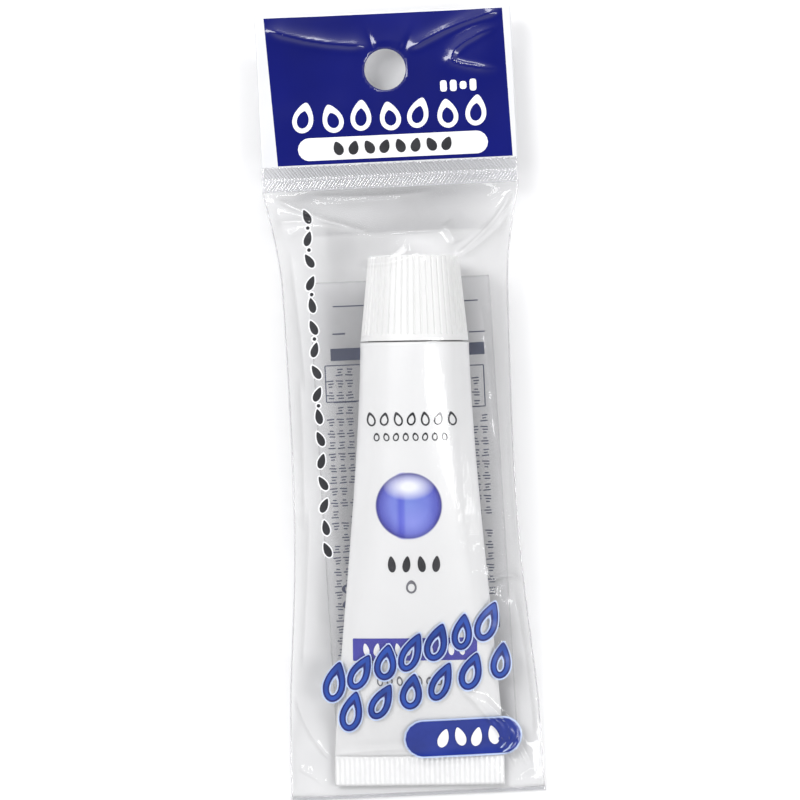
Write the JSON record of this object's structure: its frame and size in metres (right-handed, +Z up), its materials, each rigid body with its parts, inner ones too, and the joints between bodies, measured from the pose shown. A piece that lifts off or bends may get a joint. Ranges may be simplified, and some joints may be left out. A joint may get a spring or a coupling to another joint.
{
  "type": "paint tube",
  "caption": "Small white laminate tube of acrylic paint with a ribbed screw cap, lying in a clear hanging pouch with a printed header and a hang hole.",
  "frame": {"origin": "on the surface the pouch lies on, under the middle of the pouch's outline", "axes": "+Y along the tube's axis towards the cap and the header, +X to the right seen from the front face, +Z up out of the printed front face; the pouch's outline is turned 1.93 degrees about +Z from the tube's axis"},
  "size_m": [0.0574, 0.1616, 0.023],
  "materials": {
    "tube_laminate": "satin",
    "tube_shoulder": "satin",
    "barrier_film": "matt",
    "seal_foil": "bright",
    "blue_paint": "wet gloss",
    "cap_plastic": "satin",
    "liner_foam": "matt",
    "header_print": "gloss",
    "header_white": "gloss",
    "weld_film": "embossed gloss",
    "clear_film": "clear gloss",
    "panel_print": "printed"
  },
  "bodies": {
    "packet": {"tube_sleeve": "tube_laminate", "shoulder_nozzle": "tube_shoulder", "barrier_insert": "barrier_film", "nozzle_seal": "seal_foil", "paint_fill": "blue_paint", "pouch_front_film": "clear_film", "pouch_back_film": "clear_film", "header_front_ply": "header_print", "header_back_ply": "header_white", "header_weld": "weld_film", "bottom_weld": "weld_film", "instruction_panel": "panel_print"},
    "liner": {"cap_liner": "liner_foam"},
    "cap": {"cap_shell": "cap_plastic"}
  },
  "joints": [
    {"name": "cap_lift", "type": "slide", "parent": "packet", "child": "liner", "axis": [0, 1, 0], "range_m": [0, 0.00375]},
    {"name": "cap_turn", "type": "hinge", "parent": "liner", "child": "cap", "pos_m": [0.003, 0.0129, 0.01155], "axis": [0, 1, 0], "range_deg": [0, 540]}
  ],
  "couplings": [
    {"joint": "cap_lift", "follows": "cap_turn", "m_per_rad": 0.00039789}
  ]
}
